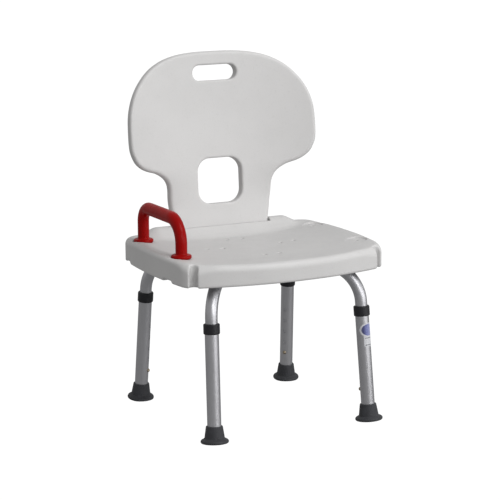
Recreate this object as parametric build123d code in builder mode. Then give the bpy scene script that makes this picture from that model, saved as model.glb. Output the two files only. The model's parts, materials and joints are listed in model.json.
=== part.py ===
from build123d import *
import math
import os

os.makedirs("parts", exist_ok=True)

# Shower stool with a backrest and one safety handle.
# Millimetres. +Z up, -Y is the front, +Y the backrest side, X across the seat.
# The origin is on the floor, in the middle of the four feet.

# ---------------------------------------------------------------- dimensions
# legs and frame
INNER_R = 12.7            # 1 in upper tube
INNER_BORE = 11.2
OUTER_R = 14.3            # 1-1/8 in lower tube
OUTER_BORE = 12.78        # 0.08 mm running clearance over the upper tube
FOOT_X, FOOT_Y = 179.1, 189.7        # leg axis on the floor
COLLAR_X, COLLAR_Y, COLLAR_Z = 172.8, 167.05, 232.0   # leg axis at the collar
FRAME_Z = 326.0           # axis of the horizontal frame runs
BEND_R = 82.0             # corner bends of the frame tubes
JOG_R = 60.0
JOG_DROP = 30.0           # tube B passes below tube A in the middle
JOG_OUT, JOG_IN = 80.0, 38.0
INNER_END = 47.0          # lower end of the upper tube, along the leg axis
OUTER_START = 10.5        # lower end of the leg tube, along the leg axis
HOLE_S = 67.0             # lowest height hole, along the leg axis
HOLE_PITCH = 25.4
HOLE_COUNT = 5
BUTTON_R = 4.0
HOLE_R = 4.2
COLLAR_R = 16.8
COLLAR_H = 21.5
FOOT_R = 28.8
FOOT_H = 36.0
SOLE_S = 1.0

# seat
RIM_Z = 369.5
SEAT_BOTTOM = 318.5
CEILING_Z = 339.0         # underside recess
SIDE_X, SIDE_Y0, SIDE_R = 237.5, -10.0, 1207.0
FRONT_Y, FRONT_R = -207.0, 680.0
REAR_Y = 178.0
SKIRT = 22.0
WALL = 3.2
HUMP_Z = 384.0
PAD_X = 202.5             # handle feet, and the spare pair on the other side
PAD_Y = (-90.7, 102.2)
PAD_Z = 365.0
GROOVE = (210.0, -165.5)  # inner centre of the hose groove across each front corner
GROOVE_W, GROOVE_TURN = 17.0, 41.0
DRAINS = [(-101, 1), (-67, -3), (67, -3), (101, 1), (-17.5, 80), (17.5, 80), (-17, -98), (17, -98)]

# backrest
BACK_Y, BACK_Z = 138.8, 379.3        # front face of the neck where it leaves the seat
RECLINE = 6.03
BACK_T = 22.0             # panel thickness
BACK_CURVE = 570.0        # radius of the upper panel, across the user's back
TONGUE = -34.0            # the neck goes this far down into the seat
TOP_T = 375.5
BOLT_X, BOLT_Z = 72.0, 361.0

# handle
HANDLE_R = 12.4
HANDLE_BORE = 9.2
HANDLE_Z = 442.0
HANDLE_BEND = (32.0, 52.0)     # rear and front bends of the handle
FLANGE_R = 20.9

CORNERS = {"fl": (-1, -1), "fr": (1, -1), "rl": (-1, 1), "rr": (1, 1)}


def leg_axis(sx, sy):
    foot = Vector(sx * FOOT_X, sy * FOOT_Y, 0)
    up = (Vector(sx * COLLAR_X, sy * COLLAR_Y, COLLAR_Z) - foot).normalized()
    return foot, up


def leg_point(sx, sy, s):
    foot, up = leg_axis(sx, sy)
    return foot + up * s


def leg_plane(sx, sy):
    """Local z runs up the leg axis from the floor, local x points to the stool's middle."""
    foot, up = leg_axis(sx, sy)
    inward = Vector(-sx, -sy, 0)
    x_dir = (inward - up * inward.dot(up)).normalized()
    return Plane(origin=foot, x_dir=x_dir, z_dir=up)


def frame_corner(sx, sy):
    foot, up = leg_axis(sx, sy)
    return foot + up * (FRAME_Z / up.Z)


COLLAR_S = (Vector(COLLAR_X, COLLAR_Y, COLLAR_Z) - Vector(FOOT_X, FOOT_Y, 0)).length
OUTER_END = COLLAR_S + 2.0
corner = frame_corner(1, 1)
DIAG = Vector(corner.X, corner.Y, 0).normalized()      # towards the rear right corner
DIAG_B = Vector(corner.X, -corner.Y, 0).normalized()   # towards the front right corner


def finish(part, name):
    part.label = name
    export_step(part, "parts/" + name + ".step")


# ---------------------------------------------------------------- frame tubes
path_a = FilletPolyline(
    leg_point(-1, -1, INNER_END),
    frame_corner(-1, -1),
    frame_corner(1, 1),
    leg_point(1, 1, INNER_END),
    radius=BEND_R,
)
button_plane = {}
for tag, (sx, sy) in CORNERS.items():
    base = leg_plane(sx, sy)
    button_plane[tag] = Plane(
        origin=base.origin + base.z_dir * HOLE_S, x_dir=base.z_dir, z_dir=base.x_dir
    )

with BuildPart() as frame_tube_a:
    with BuildSketch(Plane(origin=path_a @ 0, z_dir=path_a % 0)):
        Circle(INNER_R)
        Circle(INNER_BORE, mode=Mode.SUBTRACT)
    sweep(path=path_a)
    for tag in ("fl", "rr"):
        with BuildSketch(button_plane[tag]):
            Circle(BUTTON_R + 0.15)
        extrude(amount=20, mode=Mode.SUBTRACT)
    with BuildSketch(Plane.XY.offset(FRAME_Z - 20)):
        Circle(3.2)
    extrude(amount=40, mode=Mode.SUBTRACT)
finish(frame_tube_a.part, "frame_tube_a")

z_low = FRAME_Z - JOG_DROP
jog = [
    -DIAG_B * JOG_OUT + Vector(0, 0, FRAME_Z),
    -DIAG_B * JOG_IN + Vector(0, 0, z_low),
    DIAG_B * JOG_IN + Vector(0, 0, z_low),
    DIAG_B * JOG_OUT + Vector(0, 0, FRAME_Z),
]
path_b = FilletPolyline(
    leg_point(-1, 1, INNER_END),
    frame_corner(-1, 1),
    *jog,
    frame_corner(1, -1),
    leg_point(1, -1, INNER_END),
    radius=[BEND_R, JOG_R, JOG_R, JOG_R, JOG_R, BEND_R],
)
with BuildPart() as frame_tube_b:
    with BuildSketch(Plane(origin=path_b @ 0, z_dir=path_b % 0)):
        Circle(INNER_R)
        Circle(INNER_BORE, mode=Mode.SUBTRACT)
    sweep(path=path_b)
    for tag in ("rl", "fr"):
        with BuildSketch(button_plane[tag]):
            Circle(BUTTON_R + 0.15)
        extrude(amount=20, mode=Mode.SUBTRACT)
    with BuildSketch(Plane.XY.offset(z_low - 20)):
        Circle(3.2)
    extrude(amount=40, mode=Mode.SUBTRACT)
finish(frame_tube_b.part, "frame_tube_b")

# saddle block between the crossing tubes
with BuildPart() as crossing_saddle:
    with BuildSketch(Plane(origin=(0, 0, 303.2), x_dir=DIAG, z_dir=(0, 0, 1))):
        RectangleRounded(24, 24, 3)
    extrude(amount=15.6)
    with BuildSketch(Plane(origin=DIAG * -30 + Vector(0, 0, FRAME_Z), z_dir=DIAG)):
        Circle(INNER_R + 0.05)
    extrude(amount=60, mode=Mode.SUBTRACT)
    with BuildSketch(Plane(origin=DIAG_B * -30 + Vector(0, 0, z_low), z_dir=DIAG_B)):
        Circle(INNER_R + 0.05)
    extrude(amount=60, mode=Mode.SUBTRACT)
    with BuildSketch(Plane.XY.offset(300)):
        Circle(3.2)
    extrude(amount=30, mode=Mode.SUBTRACT)
finish(crossing_saddle.part, "crossing_saddle")

# bolt down through both tubes: domed head above tube A, nut and washer below tube B
with BuildPart() as crossing_bolt:
    with BuildSketch(Plane.XY.offset(277.5)):
        Circle(3.0)
    extrude(amount=FRAME_Z + INNER_R + 0.2 - 277.5)
    with BuildSketch(Plane.XY.offset(FRAME_Z + INNER_R + 0.2)):
        Circle(6.5)
    extrude(amount=3.2)
    fillet(crossing_bolt.edges().group_by(Axis.Z)[-1], 2.2)
finish(crossing_bolt.part, "crossing_bolt")

with BuildPart() as crossing_nut:
    with BuildSketch(Plane.XY.offset(z_low - INNER_R - 1.6)):
        Circle(7.5)
        Circle(3.1, mode=Mode.SUBTRACT)
    extrude(amount=1.4)
    with BuildSketch(Plane.XY.offset(z_low - INNER_R - 1.6)):
        RegularPolygon(5.8, 6)
        Circle(3.1, mode=Mode.SUBTRACT)
    extrude(amount=-5.0)
finish(crossing_nut.part, "crossing_nut")

# straps that hold the frame tubes up against the seat, each with two screws
SADDLE_R = 128.0
STRAP_T = 1.6
strap_in = INNER_R + 0.15
screw_spots = []
screw_shift = strap_in + STRAP_T + 6.5
for tag, (sx, sy) in CORNERS.items():
    away = Vector(sx * abs(DIAG.X), sy * abs(DIAG.Y), 0)
    side = Vector(-away.Y, away.X, 0)
    centre = away * SADDLE_R + Vector(0, 0, FRAME_Z)
    strap_plane = Plane(origin=centre, x_dir=side, z_dir=away)
    up = 1.0 if strap_plane.y_dir.Z > 0 else -1.0
    top = (CEILING_Z - FRAME_Z - 0.1) * up
    with BuildPart() as saddle_strap:
        with BuildSketch(strap_plane):
            with BuildLine():
                outer = strap_in + STRAP_T
                Polyline((-outer, 0), (-outer, top - STRAP_T * up), (-outer - 13, top - STRAP_T * up), (-outer - 13, top), (-strap_in, top), (-strap_in, 0))
                ThreePointArc((-strap_in, 0), (0, -strap_in * up), (strap_in, 0))
                Polyline((strap_in, 0), (strap_in, top), (outer + 13, top), (outer + 13, top - STRAP_T * up), (outer, top - STRAP_T * up), (outer, 0))
                ThreePointArc((outer, 0), (0, -outer * up), (-outer, 0))
            make_face()
        extrude(amount=9, both=True)
        for k in (-1, 1):
            spot = centre + side * (k * screw_shift)
            with BuildSketch(Plane(origin=(spot.X, spot.Y, CEILING_Z - 8), z_dir=(0, 0, 1))):
                Circle(2.6)
            extrude(amount=12, mode=Mode.SUBTRACT)
            screw_spots.append((spot.X, spot.Y))
    finish(saddle_strap.part, "saddle_strap_" + tag)

with BuildPart() as saddle_screws:
    with BuildSketch(Plane.XY.offset(CEILING_Z - 0.1 - STRAP_T - 3.0)):
        with Locations(*screw_spots):
            Circle(4.3)
    extrude(amount=2.9)
    fillet(saddle_screws.edges().group_by(Axis.Z)[0], 1.6)
    with BuildSketch(Plane.XY.offset(CEILING_Z - 0.1 - STRAP_T - 0.1)):
        with Locations(*screw_spots):
            Circle(2.3)
    extrude(amount=15.0)
finish(saddle_screws.part, "saddle_screws")

# ---------------------------------------------------------------- seat
def side_x(y):
    return SIDE_X - SIDE_R + math.sqrt(SIDE_R**2 - (y - SIDE_Y0) ** 2)


def front_y(x):
    return FRONT_Y + FRONT_R - math.sqrt(FRONT_R**2 - x**2)


def seat_outline(inset):
    """The seat's plan, pulled in by inset on every side."""
    r = SIDE_R - inset
    fr = FRONT_R - inset
    cx, cy = SIDE_X - SIDE_R, FRONT_Y + FRONT_R
    rear = REAR_Y - inset
    # where the side arc meets the front arc
    x = SIDE_X - 12.0
    for _ in range(60):
        y = cy - math.sqrt(fr**2 - x**2)
        x = cx + math.sqrt(r**2 - (y - SIDE_Y0) ** 2)
    xr = cx + math.sqrt(r**2 - (rear - SIDE_Y0) ** 2)
    with BuildSketch() as plan:
        with BuildLine():
            ThreePointArc((-x, y), (0, FRONT_Y + inset), (x, y))
            ThreePointArc((x, y), (SIDE_X - inset, SIDE_Y0), (xr, rear))
            Line((xr, rear), (-xr, rear))
            ThreePointArc((-xr, rear), (-SIDE_X + inset, SIDE_Y0), (-x, y))
        make_face()
        corners = plan.vertices().sort_by(Axis.Y)
        fillet(corners[:2], max(40.0 - inset, 6.0))
        corners = [v for v in plan.vertices() if abs(v.Y - rear) < 0.01 and abs(abs(v.X) - xr) < 0.01]
        fillet(corners, max(48.0 - inset, 6.0))
    return plan.sketch


outline = seat_outline(0)
skirt_plan = seat_outline(SKIRT)
wall_plan = seat_outline(WALL)
skirt_wall_plan = seat_outline(SKIRT - WALL)

slot_plane = Plane(
    origin=(0, BACK_Y, BACK_Z),
    x_dir=(1, 0, 0),
    z_dir=(0, -math.cos(math.radians(RECLINE)), math.sin(math.radians(RECLINE))),
)
back_dir = Vector(0, math.sin(math.radians(RECLINE)), math.cos(math.radians(RECLINE)))

# sealed air space between the two walls of the moulding, with posts round every hole
with BuildPart() as seat_air:
    with BuildSketch(Plane.XY.offset(CEILING_Z + WALL)):
        add(wall_plan)
    extrude(amount=362.0 - CEILING_Z - WALL)
    # the top wall follows the dish
    with BuildSketch(Plane.XZ.offset(-98)):
        with Locations((0, 359.0 - WALL + 2335.0)):
            Circle(2335.0)
    extrude(amount=400, mode=Mode.SUBTRACT)
    with BuildSketch(Plane.XY.offset(SEAT_BOTTOM + WALL)):
        add(wall_plan)
        add(skirt_wall_plan, mode=Mode.SUBTRACT)
    extrude(amount=352.0 - SEAT_BOTTOM - WALL)
    with BuildSketch(Plane.XY.offset(300)):
        with Locations(*DRAINS):
            Circle(7.5)
        with Locations(*[(k * PAD_X, y) for k in (-1, 1) for y in PAD_Y]):
            Circle(12)
        with Locations(*screw_spots):
            Circle(6)
        Circle(16)
        with Locations((0, BACK_Y + 12)):
            Rectangle(2 * 113 + 10, 52)
        with Locations((-GROOVE[0], GROOVE[1]), GROOVE):
            Circle(18)
        with Locations((-238, -88), (238, -88), (-238, 128), (238, 128)):
            Rectangle(52, 64)
    extrude(amount=100, mode=Mode.SUBTRACT)

with BuildPart() as seat_shell:
    with BuildSketch(Plane.XY.offset(SEAT_BOTTOM)):
        add(outline)
    extrude(amount=RIM_Z - SEAT_BOTTOM)
    fillet(seat_shell.edges().group_by(Axis.Z)[-1], 9.0)
    fillet(seat_shell.edges().group_by(Axis.Z)[0], 4.0)
    # dished top, open to the front
    with BuildSketch(Plane.XZ.offset(-95)):
        with Locations((0, 359.0 + 2335.0)):
            Circle(2335.0)
    extrude(amount=140 + 200, mode=Mode.SUBTRACT)
    # raised rear deck that holds the backrest
    with BuildSketch(Plane.XZ.offset(-REAR_Y + 1.0)) as deck_face:
        with BuildLine():
            Polyline((-196, 350), (-196, 362), (-152, HUMP_Z), (152, HUMP_Z), (196, 362), (196, 350), close=True)
        make_face()
    deck_block = extrude(amount=90, mode=Mode.PRIVATE)
    with BuildSketch(Plane.YZ.offset(-200)) as deck_side:
        with BuildLine():
            Polyline((96, 350), (96, 358.5), (118, 366), (137.5, 379.3), (150, 382.2), (166, HUMP_Z), (173, 382), (177, 376), (177, 350), close=True)
        make_face()
    deck_ramp = extrude(amount=400, mode=Mode.PRIVATE)
    add(deck_block & deck_ramp)
    # underside recess inside the skirt
    with BuildSketch(Plane.XY.offset(SEAT_BOTTOM - 5)):
        add(skirt_plan)
    extrude(amount=CEILING_Z - SEAT_BOTTOM + 5, mode=Mode.SUBTRACT)
    # flat pads for the handle feet, one pair each side
    with BuildSketch(Plane.XY.offset(PAD_Z)):
        with Locations(*[(k * PAD_X, y) for k in (-1, 1) for y in PAD_Y]):
            Circle(22.0)
    extrude(amount=20, mode=Mode.SUBTRACT)
    # air space
    add(seat_air.part, mode=Mode.SUBTRACT)
    # slot for the backrest's tongue
    with BuildSketch(slot_plane.offset(0.5)):
        with Locations((0, (TONGUE - 1 + 20) / 2)):
            Rectangle(2 * 113.2, 20 - TONGUE + 1)
    extrude(amount=-(BACK_T + 1.2), mode=Mode.SUBTRACT)
    # hose grooves across the front corners
    with BuildSketch(Plane.XY.offset(SEAT_BOTTOM - 10)):
        for k in (-1, 1):
            out = (22.0 - GROOVE_W / 2) * Vector(k * math.sin(math.radians(GROOVE_TURN)), -math.cos(math.radians(GROOVE_TURN)))
            with Locations((k * GROOVE[0] + out.X, GROOVE[1] + out.Y)):
                SlotOverall(44, GROOVE_W, rotation=90 + GROOVE_TURN * k)
    extrude(amount=80, mode=Mode.SUBTRACT)
    # small hand notches under the side skirts
    for k in (-1, 1):
        for y0 in (-88, 128):
            with BuildSketch(Plane.YZ.offset(k * 212)):
                with BuildLine():
                    Polyline((y0 - 21, SEAT_BOTTOM - 4), (y0 - 15, SEAT_BOTTOM + 5.0), (y0 + 18, SEAT_BOTTOM + 5.0), (y0 + 21, SEAT_BOTTOM - 4), close=True)
                make_face()
            extrude(amount=40 * k, mode=Mode.SUBTRACT)
    # through holes: drains, handle bolts, screw pilots, crossing bolt head, back bolts
    with BuildSketch(Plane.XY.offset(300)):
        with Locations(*DRAINS):
            Circle(4.0)
        with Locations(*[(k * PAD_X, y) for k in (-1, 1) for y in PAD_Y]):
            Circle(4.3)
    extrude(amount=100, mode=Mode.SUBTRACT)
    with BuildSketch(Plane.XY.offset(CEILING_Z - 1)):
        with Locations(*screw_spots):
            Circle(2.3)
    extrude(amount=15.0, mode=Mode.SUBTRACT)
    with BuildSketch(Plane.XY.offset(CEILING_Z - 1)):
        Circle(10)
    extrude(amount=6, mode=Mode.SUBTRACT)
    # blow pin hole into the air space, from below
    with BuildSketch(Plane.XY.offset(CEILING_Z - 1)):
        with Locations((0, -50)):
            Circle(2.5)
    extrude(amount=8, mode=Mode.SUBTRACT)
    with BuildSketch(Plane.XZ.offset(-REAR_Y - 5)):
        with Locations((-BOLT_X, BOLT_Z), (BOLT_X, BOLT_Z)):
            Circle(3.3)
    extrude(amount=30, mode=Mode.SUBTRACT)
finish(seat_shell.part, "seat_shell")

# ---------------------------------------------------------------- backrest
LOWER = [(220, 200), (213.6, 160.5), (190, 135.0), (153, 120.5), (131, 104.5), (121.6, 78)]


def back_outline():
    with BuildSketch() as face:
        with BuildLine():
            top = Spline((0, TOP_T), (126.3, 359.5), (183, 319.2), (212.9, 266), (220, 200), tangents=((1, 0), (0, -1)))
            low = Spline(*LOWER, tangents=((0, -1), (-0.12, -1)))
            Polyline(low @ 1, (112.2, 0), (111.6, TONGUE), (-111.6, TONGUE), (-112.2, 0), (-121.6, 78))
            mirror(top, about=Plane.YZ)
            mirror(low, about=Plane.YZ)
        make_face()
    return face.sketch


def across(t):
    """Plane across the panel at height t: local x across, local y towards the front."""
    return Plane(origin=slot_plane.origin + back_dir * t, x_dir=(-1, 0, 0), z_dir=back_dir)


def slab_section(t, bulge, front, thick):
    w = 245.0
    sag = w * w / (2 * BACK_CURVE) * bulge
    with BuildSketch(across(t)) as s:
        with BuildLine():
            ThreePointArc((-w, sag - front), (0, -front), (w, sag - front))
            Line((w, sag - front), (w, sag - front - thick))
            ThreePointArc((w, sag - front - thick), (0, -front - thick), (-w, sag - front - thick))
            Line((-w, sag - front - thick), (-w, sag - front))
        make_face()
    return s.sketch


def slab(front, thick):
    """The panel before it is cut to its outline: flat at the neck, curved across the upper part.
    front is how far its front lies behind the panel's front face, thick its thickness."""
    w = 245.0
    near, far = slab_section(44, 0.02, front, thick), slab_section(126, 1.0, front, thick)
    with BuildSketch(across(-60)) as flat:
        with Locations((0, -front - thick / 2)):
            Rectangle(490, thick)
    lower = extrude(near, amount=-110)
    middle = loft([near, far], ruled=True)
    upper = extrude(far, amount=280)
    return lower + middle + upper


def cut_prism(sketch):
    """A flat shape in the panel's own plane, driven right through the panel."""
    return extrude(slot_plane.offset(90) * sketch, amount=-160)


def hand_slot(grow):
    return Pos(0, 329.3) * SlotOverall(104 + 2 * grow, 33 + 2 * grow)


def lower_hole(grow):
    return Pos(0, 96.4) * RectangleRounded(104 + 2 * grow, 98 + 2 * grow, 29 + grow)


back_prism = cut_prism(back_outline())
slot_cut, hole_cut = cut_prism(hand_slot(0.0)), cut_prism(lower_hole(0.0))
outer_slab = slab(0.0, BACK_T)

# the hollow between the two skins: the curved upper part, and the neck
with BuildSketch() as hollow_face:
    with BuildLine():
        rim = Spline(
            (0, TOP_T - WALL), (125.2, 356.5), (180.6, 317.1), (209.8, 265.3), (216.8, 200), (210.6, 163),
            tangents=((1, 0), (-0.35, -1)),
        )
        Polyline(rim @ 1, (203, 152), (-203, 152), (-210.6, 163))
        mirror(rim, about=Plane.YZ)
    make_face()
upper_air = extrude(slab_section(140, 1.0, WALL, BACK_T - 2 * WALL), amount=260) & cut_prism(hollow_face.sketch)
upper_air -= cut_prism(hand_slot(WALL))
neck_air = slot_plane.offset(-WALL) * extrude(Pos(0, 3) * Rectangle(2 * 58, 66), amount=-(BACK_T - 2 * WALL))

with BuildPart() as backrest_panel:
    add(outer_slab)
    add(back_prism, mode=Mode.INTERSECT)
    add(slot_cut, mode=Mode.SUBTRACT)
    add(hole_cut, mode=Mode.SUBTRACT)
    add(upper_air, mode=Mode.SUBTRACT)
    add(neck_air, mode=Mode.SUBTRACT)
    with BuildSketch(Plane.XZ.offset(-BACK_Y - 5)):
        with Locations((-BOLT_X, BOLT_Z), (BOLT_X, BOLT_Z)):
            Circle(4.6)
    extrude(amount=-30, mode=Mode.SUBTRACT)
    # blow pin holes: in the end of the tongue, and in the top of the lower opening
    with BuildSketch(across(TONGUE - 5)):
        with Locations((20, -BACK_T / 2)):
            Circle(2.5)
    extrude(amount=12, mode=Mode.SUBTRACT)
    with BuildSketch(across(140)):
        with Locations((0, -BACK_T / 2)):
            Circle(2.5)
    extrude(amount=16, mode=Mode.SUBTRACT)
finish(backrest_panel.part, "backrest_panel")

with BuildPart() as back_inserts:
    with BuildSketch(Plane.XZ.offset(-BACK_Y - 6)):
        with Locations((-BOLT_X, BOLT_Z), (BOLT_X, BOLT_Z)):
            Circle(4.55)
            Circle(3.05, mode=Mode.SUBTRACT)
    extrude(amount=-11.5)
finish(back_inserts.part, "back_inserts")

with BuildPart() as back_screws:
    with BuildSketch(Plane.XZ.offset(-REAR_Y - 0.1)):
        with Locations((-BOLT_X, BOLT_Z), (BOLT_X, BOLT_Z)):
            Circle(3.0)
    extrude(amount=REAR_Y - BACK_Y - 7)
    with BuildSketch(Plane.XZ.offset(-REAR_Y - 0.1)):
        with Locations((-BOLT_X, BOLT_Z), (BOLT_X, BOLT_Z)):
            Circle(7.0)
    extrude(amount=-4.5)
    fillet(back_screws.edges().group_by(Axis.Y)[-1], 2.2)
finish(back_screws.part, "back_screws")

# ---------------------------------------------------------------- handle
handle_path = FilletPolyline(
    (-PAD_X, PAD_Y[1], PAD_Z + 6.0),
    (-PAD_X, PAD_Y[1], HANDLE_Z),
    (-PAD_X, PAD_Y[0], HANDLE_Z),
    (-PAD_X, PAD_Y[0], PAD_Z + 6.0),
    radius=list(HANDLE_BEND),
)
with BuildPart() as grab_handle:
    with BuildSketch(Plane(origin=handle_path @ 0, z_dir=handle_path % 0)):
        Circle(HANDLE_R)
    sweep(path=handle_path)
    with BuildSketch(Plane.XY.offset(PAD_Z)):
        with Locations((-PAD_X, PAD_Y[0]), (-PAD_X, PAD_Y[1])):
            Circle(FLANGE_R)
    extrude(amount=7.5)
    rims = grab_handle.edges().filter_by(GeomType.CIRCLE).filter_by(lambda e: abs(e.radius - FLANGE_R) < 0.1)
    fillet(rims.group_by(Axis.Z)[-1], 3.4)
    fillet(rims.group_by(Axis.Z)[0], 2.0)
    with BuildSketch(Plane.XY.offset(PAD_Z)):
        with Locations((-PAD_X, PAD_Y[0]), (-PAD_X, PAD_Y[1])):
            Circle(4.05)
    extrude(amount=32, mode=Mode.SUBTRACT)
    # moulded hollow in the grip
    with BuildSketch(Plane.XZ.offset(-PAD_Y[1] + 38)):
        with Locations((-PAD_X, HANDLE_Z)):
            Circle(HANDLE_BORE)
    extrude(amount=PAD_Y[1] - PAD_Y[0] - 38 - 58, mode=Mode.SUBTRACT)
finish(grab_handle.part, "grab_handle")

pads = [(-PAD_X, PAD_Y[0]), (-PAD_X, PAD_Y[1])]
with BuildPart() as handle_washers:
    with BuildSketch(Plane.XY.offset(CEILING_Z - 1.7)):
        with Locations(*pads):
            Circle(7.4)
            Circle(4.3, mode=Mode.SUBTRACT)
    extrude(amount=1.6)
finish(handle_washers.part, "handle_washers")

with BuildPart() as handle_bolts:
    with BuildSketch(Plane.XY.offset(CEILING_Z - 1.8 - 5.3)):
        with Locations(*pads):
            RegularPolygon(7.5, 6)
    extrude(amount=5.3)
    with BuildSketch(Plane.XY.offset(CEILING_Z - 1.8)):
        with Locations(*pads):
            Circle(4.0)
    extrude(amount=PAD_Z + 30 - CEILING_Z + 1.8)
finish(handle_bolts.part, "handle_bolts")

# ---------------------------------------------------------------- legs
for tag, (sx, sy) in CORNERS.items():
    base = leg_plane(sx, sy)

    with BuildPart() as leg_tube:
        with BuildSketch(base.offset(OUTER_START)):
            Circle(OUTER_R)
            Circle(OUTER_BORE, mode=Mode.SUBTRACT)
        extrude(amount=OUTER_END - OUTER_START)
        for k in range(HOLE_COUNT):
            with BuildSketch(Plane(origin=base.origin + base.z_dir * (HOLE_S + HOLE_PITCH * k), x_dir=base.z_dir, z_dir=base.x_dir)):
                Circle(HOLE_R)
            extrude(amount=20, mode=Mode.SUBTRACT)
    finish(leg_tube.part, "leg_tube_" + tag)

    low = COLLAR_S - COLLAR_H / 2
    with BuildPart() as leg_collar:
        with BuildSketch(base.offset(low)):
            Circle(COLLAR_R)
        extrude(amount=COLLAR_H)
        ends = leg_collar.edges().filter_by(GeomType.CIRCLE)
        fillet(ends, 2.4)
        with BuildSketch(base.offset(low - 1)):
            Circle(OUTER_R + 0.05)
        extrude(amount=OUTER_END - low + 1.1, mode=Mode.SUBTRACT)
        with BuildSketch(base.offset(low)):
            Circle(INNER_R + 0.3)
        extrude(amount=COLLAR_H + 2, mode=Mode.SUBTRACT)
    finish(leg_collar.part, "leg_collar_" + tag)

    # rubber tip: the sole is trimmed to the floor, where the rubber is squeezed flat
    side_plane = Plane(origin=base.origin, x_dir=base.x_dir, z_dir=base.y_dir * -1)
    with BuildPart() as foot_tip:
        with BuildSketch(side_plane):
            with BuildLine():
                Polyline((0, SOLE_S), (FOOT_R - 2.5, SOLE_S))
                ThreePointArc((FOOT_R - 2.5, SOLE_S), (FOOT_R - 0.5, SOLE_S + 1.4), (FOOT_R, SOLE_S + 3.6))
                ThreePointArc((FOOT_R, SOLE_S + 3.6), (FOOT_R - 1.2, SOLE_S + 6.3), (FOOT_R - 3.6, SOLE_S + 7.6))
                Polyline((FOOT_R - 3.6, SOLE_S + 7.6), (20.8, SOLE_S + 10.4), (17.3, FOOT_H - 1.2), (16.1, FOOT_H), (OUTER_R + 0.05, FOOT_H), (OUTER_R + 0.05, 8.9), (0, 8.9), (0, SOLE_S))
            make_face()
        revolve(axis=Axis(base.origin, base.z_dir), revolution_arc=360)
        with BuildSketch(base.offset(SOLE_S - 3)):
            for r in (12.0, 20.0):
                Circle(r + 1.0)
                Circle(r - 1.0, mode=Mode.SUBTRACT)
        extrude(amount=4.4, mode=Mode.SUBTRACT)
        with BuildSketch(Plane.XY.offset(-20)):
            with Locations((base.origin.X, base.origin.Y)):
                Rectangle(120, 120)
        extrude(amount=20, mode=Mode.SUBTRACT)
    finish(foot_tip.part, "foot_tip_" + tag)

    with BuildPart() as tip_washer:
        with BuildSketch(base.offset(9.0)):
            Circle(OUTER_R - 0.1)
        extrude(amount=1.4)
    finish(tip_washer.part, "tip_washer_" + tag)

    # spring button: a domed pin on a spring leaf folded inside the upper tube
    with BuildPart() as snap_button:
        with BuildSketch(side_plane):
            with BuildLine():
                Polyline((8.4, HOLE_S), (17.8, HOLE_S))
                ThreePointArc((17.8, HOLE_S), (17.0, HOLE_S + 2.6), (14.6, HOLE_S + BUTTON_R))
                Polyline((14.6, HOLE_S + BUTTON_R), (9.6, HOLE_S + BUTTON_R), (9.6, HOLE_S + 5.2), (8.4, HOLE_S + 5.2), (8.4, HOLE_S))
            make_face()
        revolve(axis=Axis(base.origin + base.z_dir * HOLE_S, base.x_dir), revolution_arc=360)
    finish(snap_button.part, "snap_button_" + tag)

    with BuildPart() as button_spring:
        with BuildSketch(side_plane):
            with BuildLine():
                Polyline((8.3, HOLE_S - 6), (8.3, HOLE_S + 12), (0.5, HOLE_S + 44))
                ThreePointArc((0.5, HOLE_S + 44), (-0.6, HOLE_S + 45.2), (-1.8, HOLE_S + 44))
                Polyline((-1.8, HOLE_S + 44), (-9.6, HOLE_S - 6), (-8.9, HOLE_S - 6), (-1.1, HOLE_S + 43.4))
                ThreePointArc((-1.1, HOLE_S + 43.4), (-0.6, HOLE_S + 43.9), (-0.2, HOLE_S + 43.4))
                Polyline((-0.2, HOLE_S + 43.4), (7.6, HOLE_S + 11.8), (7.6, HOLE_S - 6), (8.3, HOLE_S - 6))
            make_face()
        extrude(amount=4.0, both=True)
    finish(button_spring.part, "button_spring_" + tag)

# label wrapped round the front right leg: an oval badge over a small panel, with no print
base = leg_plane(1, -1)
label_dir = (Vector(0.455, -0.89, 0) - base.z_dir * Vector(0.455, -0.89, 0).dot(base.z_dir)).normalized()
LABEL_S = 193.5
BADGE_W, BADGE_H = 21.0, 15.0       # half width round the tube, half height
PANEL_W, PANEL_LOW = 13.0, 35.0
badge = []
for k in range(-8, 9):
    turn = k / 8 * BADGE_W / OUTER_R
    badge.append((math.sin(turn) * (OUTER_R + 0.3), BADGE_H * math.sqrt(1 - (k / 8) ** 2)))
panel_x = math.sin(PANEL_W / OUTER_R) * (OUTER_R + 0.3)
with BuildPart() as leg_label:
    with BuildSketch(base.offset(LABEL_S - 45)):
        Circle(OUTER_R + 0.3)
        Circle(OUTER_R + 0.05, mode=Mode.SUBTRACT)
    extrude(amount=70)
    with BuildSketch(Plane(origin=base.origin + base.z_dir * LABEL_S, x_dir=label_dir.cross(base.z_dir) * -1, z_dir=label_dir)):
        with BuildLine():
            Polyline(*badge, *[(x, -y) for x, y in badge[-2:0:-1]], close=True)
        make_face()
        with Locations((0, -PANEL_LOW / 2)):
            RectangleRounded(2 * panel_x, PANEL_LOW, 2.0)
    extrude(amount=20, mode=Mode.INTERSECT)
finish(leg_label.part, "leg_label")

print("frame path A", round(path_a.length, 1), "path B", round(path_b.length, 1), "collar at", round(COLLAR_S, 1))
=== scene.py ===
import bpy
import json
import math
import numpy as np
from mathutils import Matrix, Vector


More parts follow.
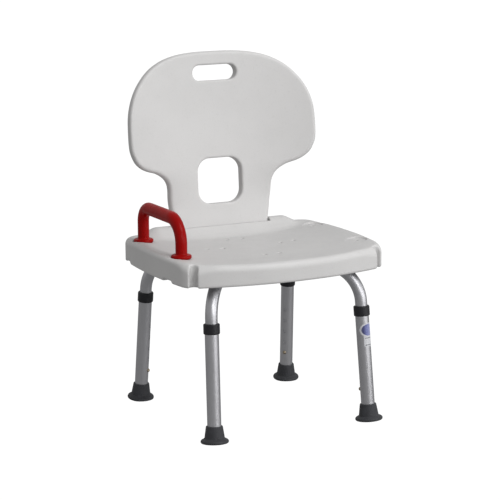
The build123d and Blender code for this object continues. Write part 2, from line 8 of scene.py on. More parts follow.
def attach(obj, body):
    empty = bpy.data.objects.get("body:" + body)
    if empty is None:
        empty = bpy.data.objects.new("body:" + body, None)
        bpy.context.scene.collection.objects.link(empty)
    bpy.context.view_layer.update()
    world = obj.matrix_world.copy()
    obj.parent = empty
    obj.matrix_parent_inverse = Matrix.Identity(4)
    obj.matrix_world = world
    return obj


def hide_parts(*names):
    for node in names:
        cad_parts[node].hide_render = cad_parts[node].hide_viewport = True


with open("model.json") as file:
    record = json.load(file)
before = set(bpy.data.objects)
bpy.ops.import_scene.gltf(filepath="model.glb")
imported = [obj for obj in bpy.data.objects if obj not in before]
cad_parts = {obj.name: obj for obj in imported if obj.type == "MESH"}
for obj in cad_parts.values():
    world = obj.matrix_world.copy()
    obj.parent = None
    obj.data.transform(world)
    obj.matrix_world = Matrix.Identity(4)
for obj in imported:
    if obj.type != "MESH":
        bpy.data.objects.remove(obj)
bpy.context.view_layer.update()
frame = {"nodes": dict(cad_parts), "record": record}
NODES = frame["nodes"]

# ------------------------------------------------------------------ small helpers
def smooth01(u):
    u = np.clip(u, 0.0, 1.0)
    return u * u * (3.0 - 2.0 * u)


def cut(a, b, r):
    """Intersection of two distances with a round edge of radius r."""
    return np.minimum(np.maximum(a, b), -r) + np.sqrt(np.maximum(a + r, 0.0) ** 2 + np.maximum(b + r, 0.0) ** 2)


def join(a, b, r):
    """Union of two distances with a fillet of radius r."""
    return np.maximum(np.minimum(a, b), r) - np.sqrt(np.maximum(r - a, 0.0) ** 2 + np.maximum(r - b, 0.0) ** 2)


def grow_grid(stops):
    """Grid lines from (value, spacing up to it) stops: the first stop only gives the start."""
    out = [stops[0][0]]
    for end, step in stops[1:]:
        n = max(1, int(round((end - out[-1]) / step)))
        start = out[-1]
        out += [start + (end - start) * (i + 1) / n for i in range(n)]
    return np.array(out, float)


def both_sides(half):
    return np.concatenate([-half[::-1], half[1:] if half[0] == 0 else half])


def polygon_field(poly, xs, ys):
    """Signed distance to a closed polygon on a grid, negative inside."""
    gx, gy = np.meshgrid(xs, ys, indexing="ij")
    p = np.stack([gx.ravel(), gy.ravel()], 1)
    a = poly
    b = np.roll(poly, -1, axis=0)
    best = np.full(len(p), 1e18)
    inside = np.zeros(len(p), bool)
    for i in range(len(a)):
        e = b[i] - a[i]
        w = p - a[i]
        t = np.clip((w @ e) / max(e @ e, 1e-12), 0, 1)
        d = w - t[:, None] * e
        best = np.minimum(best, (d * d).sum(1))
        straddle = (a[i][1] > p[:, 1]) != (b[i][1] > p[:, 1])
        if abs(e[1]) > 1e-12:
            inside ^= straddle & (p[:, 0] < a[i][0] + (p[:, 1] - a[i][1]) * e[0] / e[1])
    d = np.sqrt(best)
    return np.where(inside, -d, d).reshape(gx.shape)


class Plan:
    """A polygon's distance, looked up on a fine even grid."""

    def __init__(self, poly, pad=14.0, step=1.5):
        self.lo = poly.min(0) - pad
        hi = poly.max(0) + pad
        self.n = np.ceil((hi - self.lo) / step).astype(int) + 1
        self.step = step
        self.f = polygon_field(poly, self.lo[0] + step * np.arange(self.n[0]), self.lo[1] + step * np.arange(self.n[1]))

    def __call__(self, x, y):
        u = np.clip((x - self.lo[0]) / self.step, 0, self.n[0] - 1.001)
        v = np.clip((y - self.lo[1]) / self.step, 0, self.n[1] - 1.001)
        i, j = u.astype(int), v.astype(int)
        u, v = u - i, v - j
        f = self.f
        return (f[i, j] * (1 - u) + f[i + 1, j] * u) * (1 - v) + (f[i, j + 1] * (1 - u) + f[i + 1, j + 1] * u) * v


def through_points(pts, per=8):
    """Closed or open smooth curve through points (centripetal Catmull-Rom), returned as an open list."""
    pts = np.array(pts, float)
    ext = np.vstack([2 * pts[0] - pts[1], pts, 2 * pts[-1] - pts[-2]])
    out = []
    for i in range(1, len(ext) - 2):
        p0, p1, p2, p3 = ext[i - 1], ext[i], ext[i + 1], ext[i + 2]
        t0 = 0.0
        t1 = t0 + math.sqrt(max(np.linalg.norm(p1 - p0), 1e-9))
        t2 = t1 + math.sqrt(max(np.linalg.norm(p2 - p1), 1e-9))
        t3 = t2 + math.sqrt(max(np.linalg.norm(p3 - p2), 1e-9))
        for k in range(per):
            t = t1 + (t2 - t1) * k / per
            a1 = (t1 - t) / (t1 - t0) * p0 + (t - t0) / (t1 - t0) * p1
            a2 = (t2 - t) / (t2 - t1) * p1 + (t - t1) / (t2 - t1) * p2
            a3 = (t3 - t) / (t3 - t2) * p2 + (t - t2) / (t3 - t2) * p3
            b1 = (t2 - t) / (t2 - t0) * a1 + (t - t0) / (t2 - t0) * a2
            b2 = (t3 - t) / (t3 - t1) * a2 + (t - t1) / (t3 - t1) * a3
            out.append((t2 - t) / (t2 - t1) * b1 + (t - t1) / (t2 - t1) * b2)
    out.append(ext[-2])
    return np.array(out)


def skin(name, field, xs, ys, zs, place=None):
    """The zero surface of a distance field as an even quad mesh, in millimetres, moved onto the surface exactly.
    place maps the points afterwards. Returns the Blender object, in metres."""
    gx, gy, gz = np.meshgrid(xs, ys, zs, indexing="ij")
    f = field(gx, gy, gz)
    inner = f < 0
    total = np.zeros([n - 1 for n in f.shape], np.int8)
    corners = [(i, j, k) for i in (0, 1) for j in (0, 1) for k in (0, 1)]
    for i, j, k in corners:
        total += inner[i:f.shape[0] - 1 + i, j:f.shape[1] - 1 + j, k:f.shape[2] - 1 + k]
    active = (total > 0) & (total < 8)
    cell = np.argwhere(active)
    ids = np.full(active.shape, -1, np.int64)
    ids[active] = np.arange(len(cell))
    values, places = {}, {}
    for c in corners:
        i, j, k = cell[:, 0] + c[0], cell[:, 1] + c[1], cell[:, 2] + c[2]
        values[c] = f[i, j, k]
        places[c] = np.stack([xs[i], ys[j], zs[k]], 1)
    sums, count = np.zeros((len(cell), 3)), np.zeros(len(cell))
    for a in corners:
        for axis in range(3):
            if a[axis]:
                continue
            b = tuple(1 if q == axis else a[q] for q in range(3))
            va, vb = values[a], values[b]
            m = (va < 0) != (vb < 0)
            t = va[m] / (va[m] - vb[m])
            sums[m] += places[a][m] + t[:, None] * (places[b][m] - places[a][m])
            count[m] += 1
    p = sums / count[:, None]
    faces = []
    for axis in range(3):
        lo = [slice(None)] * 3
        hi = [slice(None)] * 3
        lo[axis], hi[axis] = slice(0, -1), slice(1, None)
        va, vb = inner[tuple(lo)], inner[tuple(hi)]
        e = np.argwhere(va != vb)
        out = va[tuple(e.T)]
        u, v = (axis + 1) % 3, (axis + 2) % 3
        ok = (e[:, u] > 0) & (e[:, v] > 0) & (e[:, u] < active.shape[u]) & (e[:, v] < active.shape[v])
        e, out = e[ok], out[ok]
        ring = []
        for du, dv in ((-1, -1), (0, -1), (0, 0), (-1, 0)):
            q = e.copy()
            q[:, u] += du
            q[:, v] += dv
            ring.append(ids[tuple(q.T)])
        ring = np.stack(ring, 1)
        ring[~out] = ring[~out][:, ::-1]
        faces.append(ring)
    faces = np.vstack(faces)
    # move each point onto the surface, and let the points even out along it
    start = p.copy()
    eps = 0.25

    def onto(p):
        g = np.empty_like(p)
        for axis in range(3):
            d = np.zeros(3)
            d[axis] = eps
            g[:, axis] = (field(*(p + d).T) - field(*(p - d).T)) / (2 * eps)
        size = np.maximum((g * g).sum(1), 0.05)
        step = g * (field(*p.T) / size)[:, None]
        length = np.linalg.norm(step, axis=1)
        step *= np.minimum(1.0, 1.2 / np.maximum(length, 1e-9))[:, None]
        return p - step

    for _ in range(3):
        p = onto(p)
    for _ in range(2):
        mean, n = np.zeros_like(p), np.zeros(len(p))
        for q in range(4):
            a, b = faces[:, q], faces[:, (q + 1) % 4]
            for c in range(3):
                mean[:, c] += np.bincount(a, p[b, c], len(p)) + np.bincount(b, p[a, c], len(p))
            n += np.bincount(a, minlength=len(p)) + np.bincount(b, minlength=len(p))
        p = p + 0.5 * (mean / np.maximum(n, 1)[:, None] - p)
        for _ in range(3):
            p = onto(p)
    if place is not None:
        p = place(p)
    return mesh_object(name, p, faces)


def mesh_object(name, p_mm, faces, smooth=True):
    me = bpy.data.meshes.new(name)
    me.vertices.add(len(p_mm))
    me.vertices.foreach_set("co", (np.asarray(p_mm, np.float64) / 1000.0).astype(np.float32).ravel())
    faces = np.asarray(faces)
    if faces.dtype == object or faces.ndim != 2:
        sizes = np.array([len(q) for q in faces])
        flat = np.concatenate([np.array(q) for q in faces])
    else:
        sizes = np.full(len(faces), faces.shape[1])
        flat = faces.ravel()
    me.loops.add(len(flat))
    me.loops.foreach_set("vertex_index", flat.astype(np.int32))
    me.polygons.add(len(sizes))
    starts = np.concatenate([[0], np.cumsum(sizes)[:-1]])
    me.polygons.foreach_set("loop_start", starts.astype(np.int32))
    me.update(calc_edges=True)
    me.polygons.foreach_set("use_smooth", np.full(len(sizes), smooth))
    me.validate()
    o = bpy.data.objects.new(name, me)
    bpy.context.scene.collection.objects.link(o)
    return o


# ------------------------------------------------------------------ camera
cam_data = bpy.data.cameras.new("camera")
cam_data.sensor_width = 36.0
cam_data.lens = 1933.804445 * 36.0 / 500.0
cam_data.clip_start, cam_data.clip_end = 0.1, 60.0
camera = bpy.data.objects.new("camera", cam_data)
bpy.context.scene.collection.objects.link(camera)
forward = Vector((0.43433, 0.87891, -0.19717)).normalized()
right = Vector((forward.y, -forward.x, 0)).normalized()
up = right.cross(forward)
roll = math.radians(-0.401)
r2 = math.cos(roll) * right + math.sin(roll) * up
u2 = -math.sin(roll) * right + math.cos(roll) * up
camera.matrix_world = Matrix.Translation((-1.77409, -3.58380, 1.15171)) @ Matrix((r2, u2, -forward)).transposed().to_4x4()
bpy.context.scene.camera = camera

# ------------------------------------------------------------------ materials
def material(name, base, rough, metallic=0.0, coat=0.0, coat_rough=0.1, specular=0.5, sheen=0.0):
    m = bpy.data.materials.new(name)
    m.use_nodes = True
    nt = m.node_tree
    b = nt.nodes["Principled BSDF"]
    b.inputs["Base Color"].default_value = (*base, 1)
    b.inputs["Roughness"].default_value = rough
    b.inputs["Metallic"].default_value = metallic
    b.inputs["Coat Weight"].default_value = coat
    b.inputs["Coat Roughness"].default_value = coat_rough
    b.inputs["Specular IOR Level"].default_value = specular
    b.inputs["Sheen Weight"].default_value = sheen
    return m, nt, b


def add(nt, kind, **values):
    n = nt.nodes.new(kind)
    for k, v in values.items():
        if k in n.inputs:
            n.inputs[k].default_value = v
        else:
            setattr(n, k, v)
    return n


def coords(nt, scale=(1, 1, 1), rotation=(0, 0, 0), offset=(0, 0, 0)):
    tc = add(nt, "ShaderNodeTexCoord")
    mp = add(nt, "ShaderNodeMapping")
    mp.inputs["Location"].default_value = offset
    mp.inputs["Rotation"].default_value = rotation
    mp.inputs["Scale"].default_value = scale
    nt.links.new(tc.outputs["Object"], mp.inputs["Vector"])
    return mp.outputs["Vector"]


def noise(nt, vector, scale, detail=3.0, roughness=0.5, distortion=0.0):
    n = add(nt, "ShaderNodeTexNoise", Scale=scale, Detail=detail, Roughness=roughness, Distortion=distortion)
    nt.links.new(vector, n.inputs["Vector"])
    return n.outputs["Fac"]


def ramp(nt, fac, stops):
    r = add(nt, "ShaderNodeValToRGB")
    e = r.color_ramp.elements
    while len(e) < len(stops):
        e.new(0.5)
    for q, (pos, col) in zip(e, stops):
        q.position = pos
        q.color = (*col, 1)
    nt.links.new(fac, r.inputs["Fac"])
    return r.outputs["Color"]


def span(nt, fac, lo, hi, from_lo=0.3, from_hi=0.7):
    r = add(nt, "ShaderNodeMapRange")
    r.inputs["From Min"].default_value = from_lo
    r.inputs["From Max"].default_value = from_hi
    r.inputs["To Min"].default_value = lo
    r.inputs["To Max"].default_value = hi
    nt.links.new(fac, r.inputs["Value"])
    return r.outputs["Result"]


def bump(nt, b, heights):
    """heights: list of (height socket, distance in metres, strength)."""
    last = None
    for h, distance, strength in heights:
        n = add(nt, "ShaderNodeBump", Strength=strength, Distance=distance)
        nt.links.new(h, n.inputs["Height"])
        if last is not None:
            nt.links.new(last, n.inputs["Normal"])
        last = n.outputs["Normal"]
    nt.links.new(last, b.inputs["Normal"])


def tint(c, k):
    return tuple(min(1.0, v * k) for v in c)


# moulded light grey-white polyethylene: faint mottling, a fine eggshell texture, slow waviness of the blown wall
def make_plastic(name, base):
    m, nt, b = material(name, base, 0.46, specular=0.45)
    v = coords(nt)
    cloud = noise(nt, v, 9.0, 4.0, 0.55)
    speck = noise(nt, v, 260.0, 2.0, 0.6)
    col = ramp(nt, cloud, [(0.3, tint(base, 0.965)), (0.55, base), (0.75, tint(base, 1.02))])
    dark = ramp(nt, speck, [(0.25, (0.94, 0.94, 0.935)), (0.42, (1, 1, 1))])
    mix = add(nt, "ShaderNodeMix", data_type="RGBA", blend_type="MULTIPLY")
    mix.inputs["Factor"].default_value = 1.0
    nt.links.new(col, mix.inputs["A"])
    nt.links.new(dark, mix.inputs["B"])
    nt.links.new(mix.outputs["Result"], b.inputs["Base Color"])
    scuff = noise(nt, coords(nt, (1, 1, 1), (0.3, 0.2, 0.7)), 34.0, 5.0, 0.65)
    nt.links.new(span(nt, scuff, 0.40, 0.54), b.inputs["Roughness"])
    grain = noise(nt, v, 900.0, 2.0, 0.5)
    stipple = noise(nt, v, 380.0, 1.0, 0.4)
    wave = noise(nt, v, 11.0, 1.0, 0.3)
    bump(nt, b, [(wave, 0.0018, 0.20), (stipple, 0.00016, 0.35), (grain, 0.00006, 0.4)])
    return m


# glossy red vinyl over the handle's tube: slight orange peel, handling marks in the gloss
def make_red(name, base):
    m, nt, b = material(name, base, 0.32, specular=0.22)
    b.inputs["IOR"].default_value = 1.30
    v = coords(nt)
    cloud = noise(nt, v, 22.0, 3.0, 0.5)
    col = ramp(nt, cloud, [(0.3, tint(base, 0.86)), (0.6, base), (0.8, tint(base, 1.12))])
    nt.links.new(col, b.inputs["Base Color"])
    marks = noise(nt, v, 70.0, 4.0, 0.6)
    nt.links.new(span(nt, marks, 0.26, 0.38), b.inputs["Roughness"])
    peel = noise(nt, v, 240.0, 2.0, 0.45)
    wave = noise(nt, v, 28.0, 1.0, 0.3)
    bump(nt, b, [(wave, 0.0012, 0.15), (peel, 0.00012, 0.35)])
    return m


# satin anodised tube: fine draw lines along it, and soft variation of the satin
def make_tube(name, base, lines):
    m, nt, b = material(name, base, 0.30, metallic=1.0)
    v = coords(nt, lines)
    streak = noise(nt, v, 1.0, 3.0, 0.5)
    w = coords(nt)
    cloud = noise(nt, w, 18.0, 3.0, 0.5)
    col = ramp(nt, streak, [(0.3, tint(base, 0.95)), (0.5, base), (0.7, tint(base, 1.03))])
    nt.links.new(col, b.inputs["Base Color"])
    both = add(nt, "ShaderNodeMath", operation="ADD")
    nt.links.new(streak, both.inputs[0])
    nt.links.new(cloud, both.inputs[1])
    nt.links.new(span(nt, both.outputs[0], 0.35, 0.43, 0.6, 1.4), b.inputs["Roughness"])
    bump(nt, b, [(streak, 0.00002, 0.2), (noise(nt, w, 1400.0, 1.0), 0.00001, 0.3)])
    return m


def make_rubber(name, base):
    m, nt, b = material(name, base, 0.62, specular=0.35, sheen=0.06)
    v = coords(nt)
    cloud = noise(nt, v, 60.0, 5.0, 0.65)
    col = ramp(nt, cloud, [(0.28, tint(base, 0.75)), (0.52, base), (0.78, tint(base, 1.45))])
    nt.links.new(col, b.inputs["Base Color"])
    nt.links.new(span(nt, cloud, 0.52, 0.72), b.inputs["Roughness"])
    bump(nt, b, [(noise(nt, v, 800.0, 3.0, 0.6), 0.00012, 0.45), (noise(nt, v, 120.0, 2.0), 0.0003, 0.2)])
    return m


def make_black(name, base):
    m, nt, b = material(name, base, 0.40, specular=0.3)
    v = coords(nt)
    cloud = noise(nt, v, 90.0, 4.0, 0.6)
    col = ramp(nt, cloud, [(0.3, tint(base, 0.8)), (0.6, base), (0.8, tint(base, 1.3))])
    nt.links.new(col, b.inputs["Base Color"])
    nt.links.new(span(nt, cloud, 0.32, 0.48), b.inputs["Roughness"])
    bump(nt, b, [(noise(nt, v, 700.0, 2.0), 0.00008, 0.4)])
    return m


def make_steel(name, base):
    m, nt, b = material(name, base, 0.33, metallic=1.0)
    v = coords(nt, (1, 1, 1))
    cloud = noise(nt, v, 140.0, 5.0, 0.6)
    fine = noise(nt, coords(nt, (2400, 300, 300)), 1.0, 3.0, 0.6)
    col = ramp(nt, cloud, [(0.3, tint(base, 0.85)), (0.6, base), (0.8, tint(base, 1.1))])
    nt.links.new(col, b.inputs["Base Color"])
    nt.links.new(span(nt, cloud, 0.26, 0.42), b.inputs["Roughness"])
    bump(nt, b, [(fine, 0.00004, 0.3)])
    return m


WHITE = (0.582, 0.576, 0.572)
PLASTIC = make_plastic("moulded_plastic", WHITE)
RED = make_red("red_handle", (0.31, 0.002, 0.0015))
TUBE = make_tube("tube_alloy", (0.50, 0.50, 0.52), (900, 900, 9))
FRAME_TUBE = make_tube("frame_alloy", (0.48, 0.48, 0.50), (200, 200, 200))
RUBBER = make_rubber("tip_rubber", (0.032, 0.033, 0.038))
BLACK = make_black("black_plastic", (0.014, 0.014, 0.017))
STEEL = make_steel("steel", (0.58, 0.58, 0.60))
BRASS = make_steel("brass_insert", (0.72, 0.56, 0.28))
BUTTON = make_steel("button_metal", (0.36, 0.30, 0.22))


def make_label(name):
    """Sticker wrapped round the front right leg: an oval badge over a small pale panel. No lettering."""
    m, nt, b = material(name, (0.6, 0.6, 0.62), 0.38, coat=0.12)
    foot = Vector((0.1791, -0.1897, 0.0))
    up_leg = (Vector((0.1728, -0.16705, 0.232)) - foot).normalized()
    facing = Vector((0.455, -0.89, 0.0))
    facing = (facing - up_leg * facing.dot(up_leg)).normalized()
    across = up_leg.cross(facing)

    def math_node(op, a, b2=None):
        n = add(nt, "ShaderNodeMath", operation=op)
        for i, q in enumerate((a, b2)):
            if q is None:
                continue
            if isinstance(q, (int, float)):
                n.inputs[i].default_value = q
            else:
                nt.links.new(q, n.inputs[i])
        return n.outputs[0]

    tc = add(nt, "ShaderNodeTexCoord")
    sub = add(nt, "ShaderNodeVectorMath", operation="SUBTRACT")
    nt.links.new(tc.outputs["Object"], sub.inputs[0])
    sub.inputs[1].default_value = foot + up_leg * 0.1935

    def along(direction):
        n = add(nt, "ShaderNodeVectorMath", operation="DOT_PRODUCT")
        nt.links.new(sub.outputs[0], n.inputs[0])
        n.inputs[1].default_value = direction
        return n.outputs["Value"]

    high = math_node("MULTIPLY", along(up_leg), 1000.0)
    turn = math_node("ARCTAN2", along(across), along(facing))
    wide = math_node("MULTIPLY", turn, 14.45)
    e = math_node("SQRT", math_node("ADD", math_node("POWER", math_node("ABSOLUTE", math_node("DIVIDE", wide, 21.0)), 2.0),
                                    math_node("POWER", math_node("ABSOLUTE", math_node("DIVIDE", high, 15.0)), 2.0)))
    # the badge's blue is painted with shade and highlight round the leg: a painted shade darkest near its left edge,
    # then a painted highlight growing lighter to the right, where the light falls
    blue_painted_shade_and_highlight = ramp(nt, span(nt, wide, 0.0, 1.0, -19.0, 9.0), [
        (0.05, (0.10, 0.11, 0.20)), (0.20, (0.045, 0.05, 0.15)), (0.45, (0.13, 0.15, 0.36)), (0.8, (0.30, 0.32, 0.52))])
    badge_rim = ramp(nt, e, [(0.80, (0, 0, 0)), (0.86, (1, 1, 1))])
    pale = (0.58, 0.585, 0.61, 1)
    badge = add(nt, "ShaderNodeMix", data_type="RGBA")
    nt.links.new(badge_rim, badge.inputs["Factor"])
    nt.links.new(blue_painted_shade_and_highlight, badge.inputs["A"])
    badge.inputs["B"].default_value = pale
    bar_one = math_node("LESS_THAN", math_node("ABSOLUTE", math_node("ADD", high, 17.0)), 0.8)
    bar_two = math_node("LESS_THAN", math_node("ABSOLUTE", math_node("ADD", high, 31.6)), 0.9)
    inner = math_node("LESS_THAN", math_node("ABSOLUTE", math_node("ADD", wide, 3.0)), 8.0)
    bars = math_node("MULTIPLY", math_node("MAXIMUM", bar_one, bar_two), inner)
    panel = add(nt, "ShaderNodeMix", data_type="RGBA")
    nt.links.new(bars, panel.inputs["Factor"])
    panel.inputs["A"].default_value = pale
    panel.inputs["B"].default_value = (0.16, 0.165, 0.18, 1)
    whole = add(nt, "ShaderNodeMix", data_type="RGBA")
    nt.links.new(math_node("LESS_THAN", e, 1.0), whole.inputs["Factor"])
    nt.links.new(panel.outputs["Result"], whole.inputs["A"])
    nt.links.new(badge.outputs["Result"], whole.inputs["B"])
    nt.links.new(whole.outputs["Result"], b.inputs["Base Color"])
    bump(nt, b, [(noise(nt, tc.outputs["Object"], 900.0, 2.0), 0.00003, 0.3)])
    return m


LABEL = make_label("label")

BY_SLOT = {
    "moulded_plastic": PLASTIC, "red_handle": RED, "tube_alloy": TUBE, "tip_rubber": RUBBER,
    "black_plastic": BLACK, "steel": STEEL, "brass_insert": BRASS, "label": LABEL,
}
SLOT_OF = {s["node"]: s["material_slot"] for s in frame["record"]["subparts"]}
for name, o in NODES.items():
    m = BY_SLOT[SLOT_OF[name]]
    if name.startswith("frame_tube"):
        m = FRAME_TUBE
    if name.startswith("snap_button"):
        m = BUTTON
    o.data.materials.clear()
    o.data.materials.append(m)

# ------------------------------------------------------------------ backrest
BACK_Y, BACK_Z, RECLINE, BACK_T, BACK_CURVE = 138.8, 379.3, math.radians(6.03), 22.0, 570.0
HALF = [(111.6, -34), (112.0, 0), (114.3, 16), (116.5, 29), (118.2, 42), (120.1, 55.5), (121.4, 69), (122.0, 82), (125.0, 95.8),
        (133.8, 109), (153.0, 121.2), (176.0, 128.2), (190.5, 134.6), (205.4, 146.6), (213.2, 159.8), (218.0, 173), (219.6, 186.5), (219.9, 200),
        (219.4, 226), (218.4, 240), (216.4, 253), (212.9, 266), (208.0, 279.5), (201.4, 293), (193.3, 306), (182.8, 319),
        (169.6, 332.5), (152.5, 345.6), (126.3, 359), (100.0, 367.2), (70.0, 372.4), (36.0, 374.9), (0.0, 375.4)]
right_side = through_points(HALF, 6)
outline = np.vstack([right_side, (right_side * [-1, 1])[::-1][1:]])
back_plan = Plan(outline)
SLOT_T, HOLE_T = 329.3, 96.4


def rounded_box(x, y, hx, hy, r):
    qx, qy = np.abs(x) - hx + r, np.abs(y) - hy + r
    return np.minimum(np.maximum(qx, qy), 0) + np.sqrt(np.maximum(qx, 0) ** 2 + np.maximum(qy, 0) ** 2) - r


def back_field(x, t, n):
    edge = back_plan(x, t)
    front_r, rear_r = 8.0, 7.0
    body = cut(edge, -n, front_r)
    body = cut(body, n - BACK_T, rear_r)
    hand = rounded_box(x, t - SLOT_T, 52.0, 16.6, 16.5)
    low = rounded_box(x, t - HOLE_T, 52.0, 49.0, 29.0)
    body = cut(body, -hand, 3.6)
    body = cut(body, -low, 4.2)
    return body


def back_place(p):
    x, t, n = p[:, 0], p[:, 1], p[:, 2]
    bulge = smooth01((t - 38.0) / 92.0)
    y = -n + x * x / (2 * BACK_CURVE) * bulge      # towards the front
    c, s = math.cos(RECLINE), math.sin(RECLINE)
    return np.stack([x, BACK_Y + t * s - y * c, BACK_Z + t * c + y * s], 1)


xs = both_sides(grow_grid([(0, 1), (44, 2.9), (62, 1.9), (112, 3.2), (223, 2.1)]))
ts = grow_grid([(-37, 1), (40, 2.6), (60, 2.0), (130, 2.4), (170, 2.1), (300, 3.0), (378, 2.0)])
ns = grow_grid([(-2.4, 1), (9, 1.6), (14, 2.5), (24.4, 1.6)])
back = skin("backrest_moulding", back_field, xs, ts, ns, back_place)
back.data.materials.append(PLASTIC)
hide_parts("backrest_panel")
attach(back, "seat_frame")

# ------------------------------------------------------------------ seat
SEAT_BOTTOM, CEILING_Z = 318.5, 339.0
SIDE_X, SIDE_Y0, SIDE_R = 237.45, -10.0, 1207.0
FRONT_Y, FRONT_R, REAR_Y = -206.95, 680.0, 177.95
PAD_X, PAD_Y, PAD_Z = 202.5, (-90.7, 102.2), 365.0
GROOVE, GROOVE_TURN = (210.0, -165.5), math.radians(41.0)
DRAINS = [(-101, 1), (-67, -3), (67, -3), (101, 1), (-17.5, 80), (17.5, 80), (-17, -98), (17, -98)]


def side_x(y):
    return SIDE_X - SIDE_R + math.sqrt(SIDE_R ** 2 - (y - SIDE_Y0) ** 2)


def front_y(x):
    return FRONT_Y + FRONT_R - math.sqrt(FRONT_R ** 2 - x ** 2)


x, y = 225.0, -160.0
for _ in range(60):
    y = front_y(x)
    x = side_x(y)
CORNER = (x, y)


class RoundPlan:
    """The seat's outline with arcs in its four corners."""

    def __init__(self):
        pts = []
        r1, r2 = 40.0, 48.0
        # front right corner: circle that touches the front and side arcs from inside
        cf = np.array((0.0, FRONT_Y + FRONT_R))
        cs = np.array((SIDE_X - SIDE_R, SIDE_Y0))
        c = np.array(CORNER) + np.array((-r1, r1))
        for _ in range(60):
            # at FRONT_R - r1 from cf and SIDE_R - r1 from cs
            d = c - cf
            c = cf + d / np.linalg.norm(d) * (FRONT_R - r1)
            d = c - cs
            c = cs + d / np.linalg.norm(d) * (SIDE_R - r1)
        t1 = cf + (c - cf) / np.linalg.norm(c - cf) * FRONT_R
        t2 = cs + (c - cs) / np.linalg.norm(c - cs) * SIDE_R
        a1, a2 = math.atan2(*(t1 - c)[::-1]), math.atan2(*(t2 - c)[::-1])
        for k in np.linspace(0, t1[0], 40)[:-1]:
            pts.append((k, front_y(k)))
        for q in np.linspace(a1, a2, 16):
            pts.append(tuple(c + r1 * np.array((math.cos(q), math.sin(q)))))
        # rear right corner
        cy = REAR_Y - r2
        cx = cs[0] + math.sqrt((SIDE_R - r2) ** 2 - (cy - cs[1]) ** 2)
        c2 = np.array((cx, cy))
        t3 = cs + (c2 - cs) / np.linalg.norm(c2 - cs) * SIDE_R
        for v in np.linspace(t2[1], t3[1], 50)[1:-1]:
            pts.append((side_x(v), v))
        a3 = math.atan2(*(t3 - c2)[::-1])
        for q in np.linspace(a3, math.pi / 2, 16):
            pts.append(tuple(c2 + r2 * np.array((math.cos(q), math.sin(q)))))
        pts.append((0.0, REAR_Y))
        pts = np.array(pts)
        self.poly = np.vstack([pts, (pts * [-1, 1])[::-1][1:-1]])


seat_plan = Plan(RoundPlan().poly, pad=12.0)
RAMP_Y = np.array([60, 92, 104, 118, 128, 137.5, 144, 152, 162, 168, 173, 178, 190], float)
RAMP_Z = np.array([340, 352, 358.2, 365.6, 372.2, 379.4, 383.4, 385.0, 383.0, 379.6, 376.4, 372.4, 362], float)
fine_y = np.arange(60, 190.5, 0.5)
fine_z = np.interp(fine_y, RAMP_Y, RAMP_Z)
for _ in range(14):
    fine_z[1:-1] = (fine_z[:-2] + 2 * fine_z[1:-1] + fine_z[2:]) / 4


def seat_top(x, y):
    u = np.clip(np.abs(x) / 216.0, 0, 1)
    dish = 357.4 + 10.9 * u ** 2.5
    dish = dish + 4.2 * smooth01((-112 - y) / 80.0) * (1 - u ** 2)
    edge = smooth01((np.abs(x) - 150.0) / 62.0)
    dish = dish + edge * (1.6 * smooth01((y + 130) / 90.0) - 2.6 * smooth01((-118 - y) / 70.0))
    ramp_z = np.interp(y, fine_y, fine_z)
    a = np.abs(x)
    share = 1 - 0.50 * smooth01((a - 148) / 42.0) - 0.14 * smooth01((a - 186) / 44.0)
    deck = 356.0 + (ramp_z - 356.0) * np.where(ramp_z > 356, share, 1.0)
    k = 5.0
    h = np.clip(0.5 + 0.5 * (deck - dish) / k, 0, 1)
    return dish + (deck - dish) * h + k * h * (1 - h)


def seat_field(x, y, z):
    plan = seat_plan(x, y)
    top = (z - seat_top(x, y)) * 0.97
    a = np.abs(x)
    # small hand notches under the sides
    notch = np.maximum(smooth01((a - 205) / 8.0) * (
        smooth01((y + 110) / 6) * smooth01((-66 - y) / 6) + smooth01((y - 106) / 6) * smooth01((150 - y) / 6)), 0)
    bottom = (SEAT_BOTTOM + 5.0 * notch) - z
    front_share = smooth01((-120 - y) / 55.0)
    rear_share = smooth01((y - 70) / 60.0) * smooth01((a - 120) / 40.0)
    body = cut(plan, top, 9.0 + front_share * (4.0 + 7.0 * smooth01((a - 165) / 45.0)) + 5.0 * rear_share)
    body = cut(body, bottom, 4.5)
    recess = cut(plan + 22.0, z - CEILING_Z, 7.0)
    body = cut(body, -recess, 3.0)
    # round recessed pads for the handle, one pair each side, with their bolt holes
    for py in PAD_Y:
        r = np.sqrt((a - PAD_X) ** 2 + (y - py) ** 2)
        pad = np.maximum(r - 22.2, PAD_Z - z)
        body = cut(body, -pad, 2.2)
        body = cut(body, 4.6 - r, 1.2)
    for dx, dy in DRAINS:
        if dx < 0:
            continue
        r = np.sqrt((a - dx) ** 2 + (y - dy) ** 2)
        body = cut(body, 4.5 - r, 1.9)
    # hose grooves at the front corners
    ux, uy = -math.sin(GROOVE_TURN), math.cos(GROOVE_TURN)
    gx, gy = a - GROOVE[0], y - GROOVE[1]
    along = gx * ux + gy * uy
    side = gx * uy - gy * ux
    groove = np.sqrt(side ** 2 + np.maximum(along, 0) ** 2) - 8.5
    body = cut(body, -groove, 3.2)
    # slot for the backrest's tongue
    c, s = math.cos(RECLINE), math.sin(RECLINE)
    dy, dz = y - BACK_Y, z - BACK_Z
    n = dy * c - dz * s               # behind the panel's front face
    t = dy * s + dz * c
    slot = np.maximum(np.maximum(a - 115.2, np.abs(n - 11.0) - 11.6), -(t + 35.5))
    body = cut(body, -slot, 1.3)
    return body


xs = both_sides(grow_grid([(0, 1), (11, 3.4), (24, 1.7), (60, 3.4), (74, 1.75), (94, 3.4), (120, 1.75), (176, 3.2), (240, 1.8)]))
ys = grow_grid([(-210, 1), (-146, 1.8), (-104, 3.3), (-92, 1.75), (-9, 3.3), (7, 1.75), (74, 3.3), (88, 1.75), (181, 1.95)])
zs = grow_grid([(316, 1), (328, 1.9), (335, 3), (342, 1.8), (352, 3.2), (387, 1.6)])
seat = skin("seat_moulding", seat_field, xs, ys, zs)
seat.data.materials.append(PLASTIC)
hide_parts("seat_shell")
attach(seat, "seat_frame")

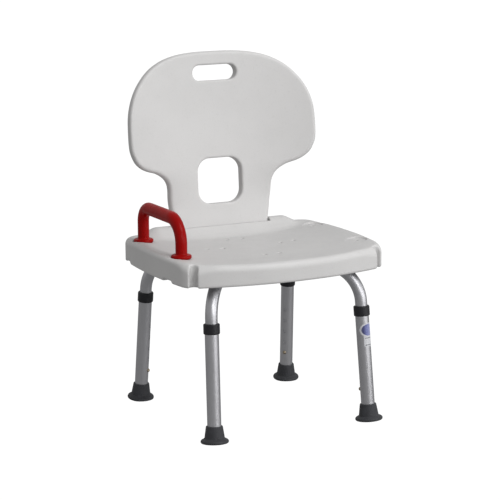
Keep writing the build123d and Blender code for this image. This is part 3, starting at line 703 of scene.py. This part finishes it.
# ------------------------------------------------------------------ handle
H_Y0, H_Y1, H_Z = PAD_Y[0], PAD_Y[1], 442.0
H_FRONT, H_REAR = 48.0, 32.0        # bends at the front and rear post


def handle_field(x, y, z):
    dx = x + PAD_X
    flat = np.full(np.shape(y), 1e9)
    for post, inward, r in ((H_Y0, 1, H_FRONT), (H_Y1, -1, H_REAR)):
        v = np.maximum(z - (H_Z - r), 0)
        flat = np.minimum(flat, np.sqrt((y - post) ** 2 + v ** 2))
        cy, cz = post + inward * r, H_Z - r
        qy, qz = (y - cy) * -inward, z - cz
        on = (qy >= 0) & (qz >= 0)
        flat = np.minimum(flat, np.where(on, np.abs(np.sqrt(qy ** 2 + qz ** 2) - r), 1e9))
    v = np.maximum(np.maximum(H_Y0 + H_FRONT - y, y - (H_Y1 - H_REAR)), 0)
    flat = np.minimum(flat, np.sqrt((z - H_Z) ** 2 + v ** 2))
    near_end = np.minimum(y - H_Y0, H_Y1 - y)
    radius = 12.1 + 1.2 * smooth01((near_end - 4) / 40.0) * smooth01((z - 400) / 30.0)
    tube = np.sqrt(flat ** 2 + dx ** 2) - radius
    tube = np.maximum(tube, 366.0 - z)
    out = tube
    for post in (H_Y0, H_Y1):
        rho = np.sqrt(dx ** 2 + (y - post) ** 2)
        disc = cut(rho - 20.8, np.abs(z - 369.3) - 4.2, 3.3)
        out = join(out, disc, 2.6)
    bore = np.minimum(np.sqrt(dx ** 2 + (y - H_Y0) ** 2), np.sqrt(dx ** 2 + (y - H_Y1) ** 2)) - 4.3
    return cut(out, -np.maximum(bore, z - 392.0), 0.8)


xs = grow_grid([(-PAD_X - 22.6, 1), (-PAD_X + 22.6, 1.35)])
ys = grow_grid([(H_Y0 - 22.6, 1), (H_Y0 + 24, 1.4), (H_Y0 + 50, 1.7), (H_Y1 - 50, 2.6), (H_Y1 - 24, 1.7), (H_Y1 + 22.6, 1.4)])
zs = grow_grid([(363.6, 1), (377, 1.1), (408, 2.6), (457.5, 1.5)])
handle = skin("safety_handle", handle_field, xs, ys, zs)
handle.data.materials.append(RED)
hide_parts("grab_handle")
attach(handle, "seat_frame")

# ------------------------------------------------------------------ stage and light
world = bpy.data.worlds.new("studio")
bpy.context.scene.world = world
world.use_nodes = True
wn = world.node_tree
bg = wn.nodes["Background"]
bg.inputs["Color"].default_value = (1, 1, 1, 1)
way = wn.nodes.new("ShaderNodeTexCoord")
parts = wn.nodes.new("ShaderNodeSeparateXYZ")
wn.links.new(way.outputs["Generated"], parts.inputs[0])
tone = wn.nodes.new("ShaderNodeMapRange")
tone.interpolation_type = "SMOOTHSTEP"
tone.inputs["From Min"].default_value = -0.12
tone.inputs["From Max"].default_value = 0.10
tone.inputs["To Min"].default_value = 0.29
tone.inputs["To Max"].default_value = 0.50
wn.links.new(parts.outputs["Z"], tone.inputs["Value"])
wn.links.new(tone.outputs["Result"], bg.inputs["Strength"])
seen = wn.nodes.new("ShaderNodeBackground")
seen.inputs["Color"].default_value = (1, 1, 1, 1)
seen.inputs["Strength"].default_value = 1.05
path = wn.nodes.new("ShaderNodeLightPath")
blend = wn.nodes.new("ShaderNodeMixShader")
wn.links.new(path.outputs["Is Camera Ray"], blend.inputs["Fac"])
wn.links.new(bg.outputs[0], blend.inputs[1])
wn.links.new(seen.outputs[0], blend.inputs[2])
wn.links.new(blend.outputs[0], wn.nodes["World Output"].inputs["Surface"])


def softbox(name, location, target, size, power, color=(1, 1, 1)):
    d = bpy.data.lights.new(name, "AREA")
    d.shape = "RECTANGLE"
    d.size, d.size_y = size
    d.energy = power
    d.color = color
    o = bpy.data.objects.new(name, d)
    bpy.context.scene.collection.objects.link(o)
    o.location = location
    o.rotation_euler = (Vector(target) - Vector(location)).to_track_quat("-Z", "Y").to_euler()
    return o


softbox("key", (1.2, -1.9, 3.4), (0, 0, 0.35), (1.5, 1.8), 54)
softbox("low_wall", (2.15, -2.75, 0.70), (0, 0, 0.3), (3.8, 1.4), 38)
softbox("front_fill", (0.2, -3.9, 2.0), (0, 0, 0.3), (2.2, 1.2), 34)

scene = bpy.context.scene
scene.view_settings.view_transform = "Standard"
scene.view_settings.look = "None"
